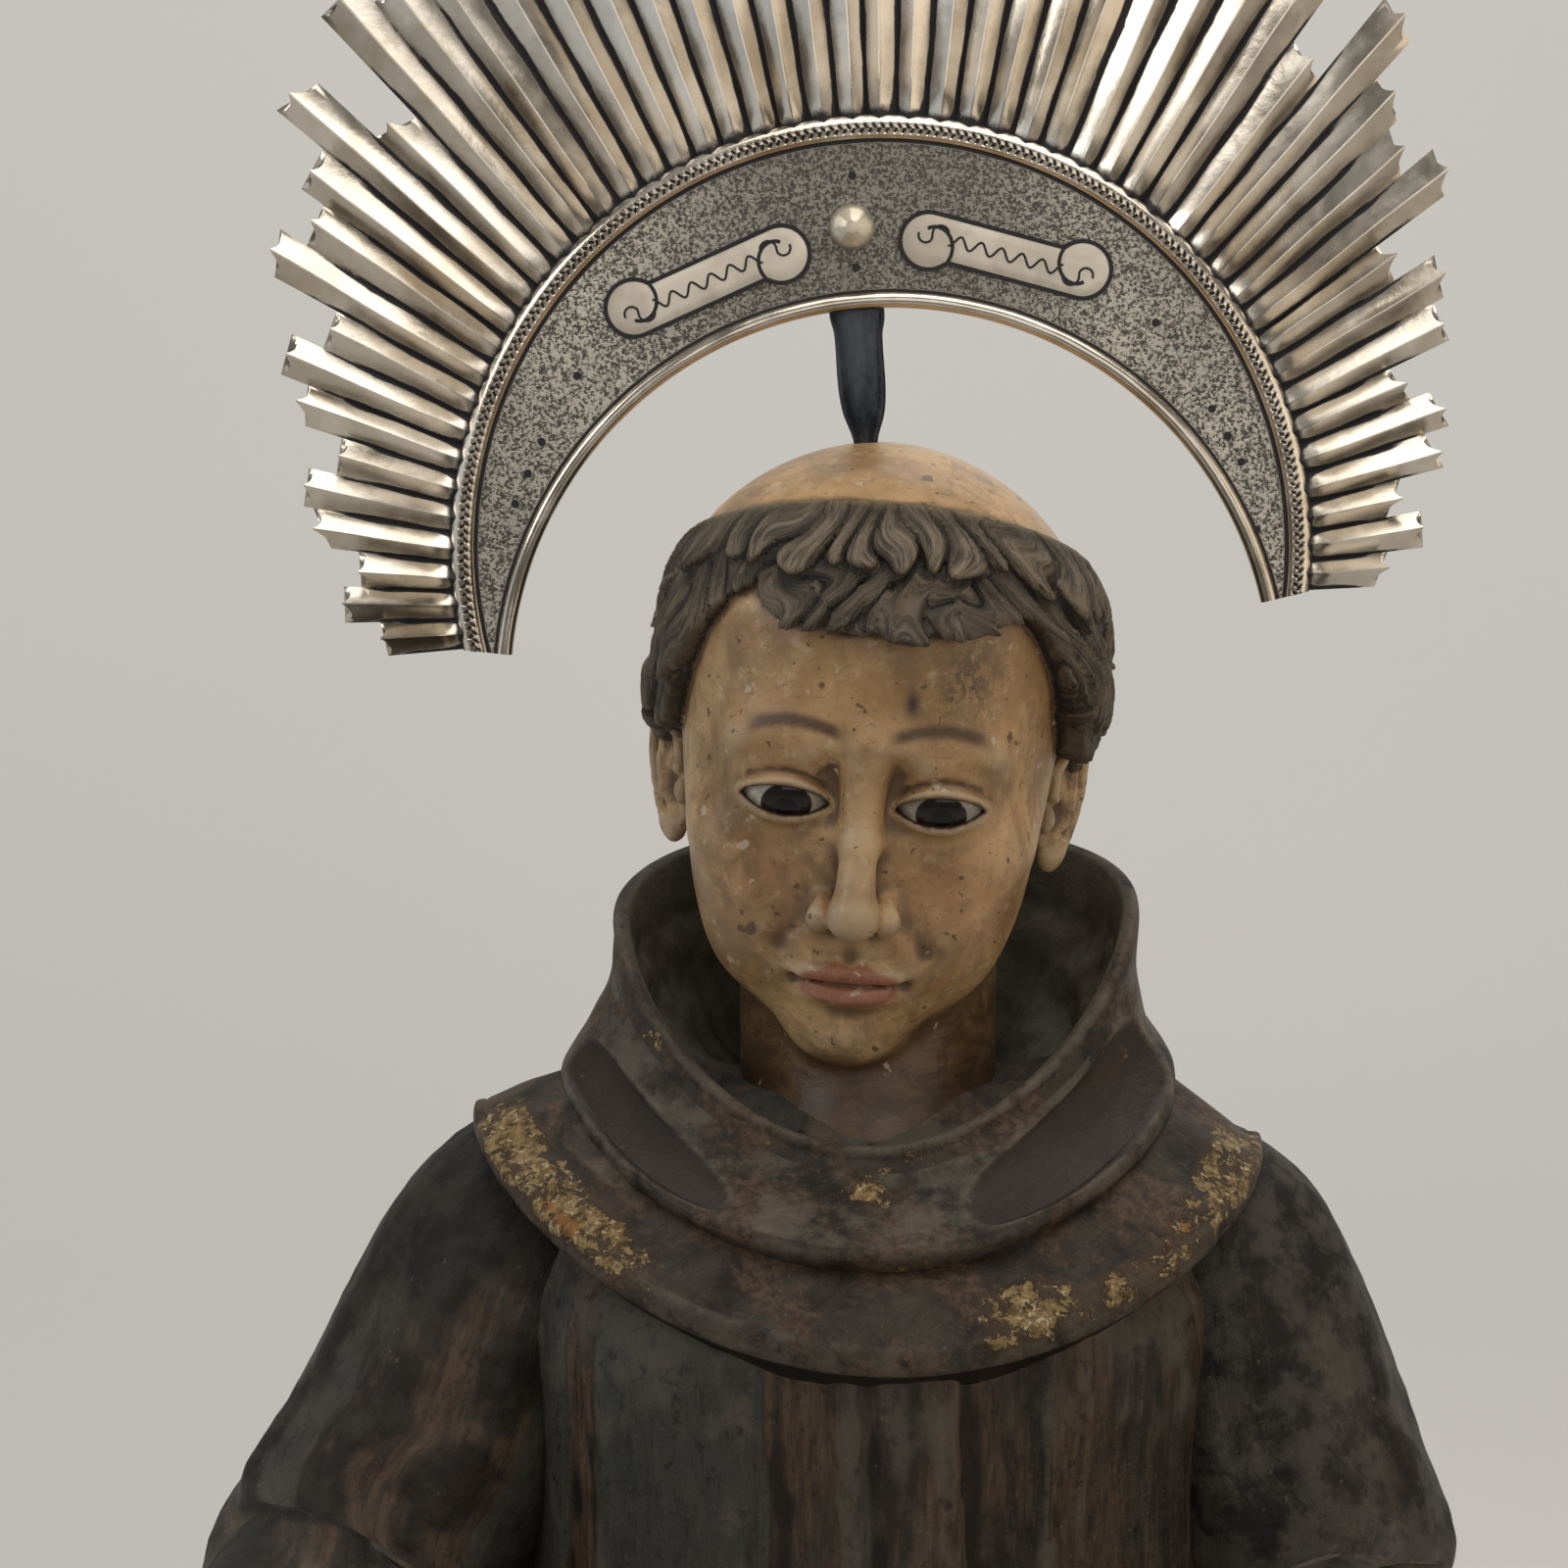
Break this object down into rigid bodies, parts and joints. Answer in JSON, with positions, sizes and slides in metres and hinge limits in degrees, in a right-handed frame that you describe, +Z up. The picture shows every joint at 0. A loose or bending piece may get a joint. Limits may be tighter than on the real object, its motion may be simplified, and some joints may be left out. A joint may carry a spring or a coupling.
{
  "type": "carved saint statue",
  "caption": "Carved and painted wooden friar saint with a shaven crown, hooded cape and habit on a low plinth, under a silver halo of rays on an iron tang.",
  "frame": {"origin": "centre of the plinth's underside", "axes": "+Z up, the figure faces -Y, +X is the viewer's right"},
  "size_m": [0.3832, 0.4136, 1.2723],
  "materials": {
    "plinth": "dark painted and worn wood",
    "habit": "aged dark painted wood with worn gilding on the border",
    "flesh": "aged satin flesh paint with chips and stains",
    "glass_eye": "glossy inset eye of dark painted glass",
    "silver": "tarnished chased silver",
    "iron": "dark polished iron"
  },
  "bodies": {
    "root": {"plinth": "plinth", "habit": "habit", "head": "flesh", "right_eye": "glass_eye", "left_eye": "glass_eye", "right_hand": "flesh", "left_hand": "flesh", "halo": "silver", "halo_boss": "silver", "halo_tang": "iron"}
  },
  "joints": []
}
